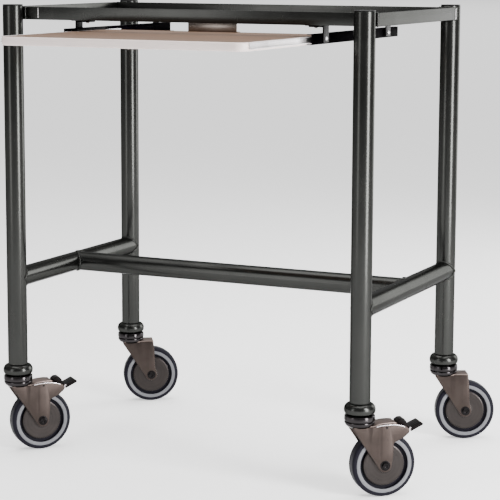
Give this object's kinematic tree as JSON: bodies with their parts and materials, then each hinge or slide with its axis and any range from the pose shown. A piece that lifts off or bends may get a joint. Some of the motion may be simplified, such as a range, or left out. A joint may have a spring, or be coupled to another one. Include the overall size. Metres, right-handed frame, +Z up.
{
  "type": "computer desk with keyboard tray",
  "caption": "Mobile tube-leg desk frame with an open angle-iron top, H stretchers, a keyboard tray on ball slides, and swivel casters with brakes at the front.",
  "frame": {"origin": "on the floor, under the middle of the overall box", "axes": "+Z up, +X to the user's right, -Y towards the user, where the tray comes out"},
  "size_m": [0.8865, 0.7908, 0.9093],
  "materials": {
    "frame_paint": "glossy gunmetal enamel",
    "cap_plastic": "moulded black plastic",
    "race_chrome": "bright chrome plate",
    "fork_nickel": "nickel-plated pressed steel, warm and shiny",
    "slide_zinc": "dark zinc-plated rolled steel",
    "slide_bright": "bright zinc-plated rolled steel",
    "cage_steel": "thin stamped strip",
    "hanger_black": "satin black",
    "tyre_rubber": "soft black rubber with a grey tread edge",
    "wheel_plastic": "metallic grey-brown moulding",
    "pedal_plastic": "dark brown-black moulding",
    "board_laminate": "light brown laminate on chipboard",
    "edge_band": "pale pinkish-grey edge band",
    "stop_steel": "bent taupe sheet, shiny"
  },
  "bodies": {
    "root": {"front_left_leg": "frame_paint", "front_left_leg_cap": "cap_plastic", "front_left_collar": "frame_paint", "front_left_swivel_stem": "race_chrome", "front_right_leg": "frame_paint", "front_right_leg_cap": "cap_plastic", "front_right_collar": "frame_paint", "front_right_swivel_stem": "race_chrome", "back_left_leg": "frame_paint", "back_left_leg_cap": "cap_plastic", "back_left_collar": "frame_paint", "back_left_swivel_stem": "race_chrome", "back_right_leg": "frame_paint", "back_right_leg_cap": "cap_plastic", "back_right_collar": "frame_paint", "back_right_swivel_stem": "race_chrome", "left_stretcher": "frame_paint", "right_stretcher": "frame_paint", "cross_stretcher": "frame_paint", "front_apron": "frame_paint", "right_apron": "frame_paint", "back_apron": "frame_paint", "left_apron": "frame_paint", "left_bearer": "frame_paint", "right_bearer": "frame_paint", "left_slide_outer": "slide_zinc", "left_front_hanger": "hanger_black", "left_back_hanger": "hanger_black", "right_slide_outer": "slide_zinc", "right_front_hanger": "hanger_black", "right_back_hanger": "hanger_black"},
    "ball_cages": {"left_ball_cage": "cage_steel", "right_ball_cage": "cage_steel"},
    "tray": {"tray_board": "board_laminate", "tray_edging": "edge_band", "tray_back_stop": "stop_steel", "left_slide_inner": "slide_bright", "right_slide_inner": "slide_bright"},
    "front_left_swivel": {"front_left_fork": "fork_nickel", "front_left_axle": "race_chrome"},
    "front_left_wheel": {"front_left_tyre": "tyre_rubber", "front_left_wheel_centre": "wheel_plastic"},
    "front_left_pedal": {"front_left_brake_pedal": "pedal_plastic"},
    "front_right_swivel": {"front_right_fork": "fork_nickel", "front_right_axle": "race_chrome"},
    "front_right_wheel": {"front_right_tyre": "tyre_rubber", "front_right_wheel_centre": "wheel_plastic"},
    "front_right_pedal": {"front_right_brake_pedal": "pedal_plastic"},
    "back_left_swivel": {"back_left_fork": "fork_nickel", "back_left_axle": "race_chrome"},
    "back_left_wheel": {"back_left_tyre": "tyre_rubber", "back_left_wheel_centre": "wheel_plastic"},
    "back_right_swivel": {"back_right_fork": "fork_nickel", "back_right_axle": "race_chrome"},
    "back_right_wheel": {"back_right_tyre": "tyre_rubber", "back_right_wheel_centre": "wheel_plastic"}
  },
  "joints": [
    {"name": "tray_slide", "type": "slide", "parent": "root", "child": "tray", "axis": [0, -1, 0], "range_m": [-0.243, 0.09]},
    {"name": "cages_slide", "type": "slide", "parent": "root", "child": "ball_cages", "axis": [0, -1, 0], "range_m": [-0.1215, 0.045]},
    {"name": "front_left_swivel_turn", "type": "hinge", "parent": "root", "child": "front_left_swivel", "pos_m": [-0.40776, -0.14938, 0.15], "axis": [0, 0, 1], "continuous": true},
    {"name": "front_left_wheel_roll", "type": "hinge", "parent": "front_left_swivel", "child": "front_left_wheel", "pos_m": [-0.37824, -0.11542, 0.06196], "axis": [-0.7547, 0.6561, 0], "continuous": true},
    {"name": "front_left_pedal_press", "type": "hinge", "parent": "front_left_swivel", "child": "front_left_pedal", "pos_m": [-0.35069, -0.08372, 0.136], "axis": [-0.7547, 0.6561, 0], "range_deg": [0, 12]},
    {"name": "front_right_swivel_turn", "type": "hinge", "parent": "root", "child": "front_right_swivel", "pos_m": [0.34224, -0.14938, 0.15], "axis": [0, 0, 1], "continuous": true},
    {"name": "front_right_wheel_roll", "type": "hinge", "parent": "front_right_swivel", "child": "front_right_wheel", "pos_m": [0.37671, -0.12045, 0.06196], "axis": [-0.6428, 0.766, 0], "continuous": true},
    {"name": "front_right_pedal_press", "type": "hinge", "parent": "front_right_swivel", "child": "front_right_pedal", "pos_m": [0.40888, -0.09346, 0.136], "axis": [-0.6428, 0.766, 0], "range_deg": [0, 12]},
    {"name": "back_left_swivel_turn", "type": "hinge", "parent": "root", "child": "back_left_swivel", "pos_m": [-0.40776, 0.32562, 0.15], "axis": [0, 0, 1], "continuous": true},
    {"name": "back_left_wheel_roll", "type": "hinge", "parent": "back_left_swivel", "child": "back_left_wheel", "pos_m": [-0.37002, 0.35013, 0.06196], "axis": [-0.5446, 0.8387, 0], "continuous": true},
    {"name": "back_right_swivel_turn", "type": "hinge", "parent": "root", "child": "back_right_swivel", "pos_m": [0.34224, 0.32562, 0.15], "axis": [0, 0, 1], "continuous": true},
    {"name": "back_right_wheel_roll", "type": "hinge", "parent": "back_right_swivel", "child": "back_right_wheel", "pos_m": [0.38233, 0.34605, 0.06196], "axis": [-0.454, 0.891, 0], "continuous": true}
  ],
  "couplings": [
    {"joint": "cages_slide", "follows": "tray_slide", "ratio": 0.5}
  ]
}
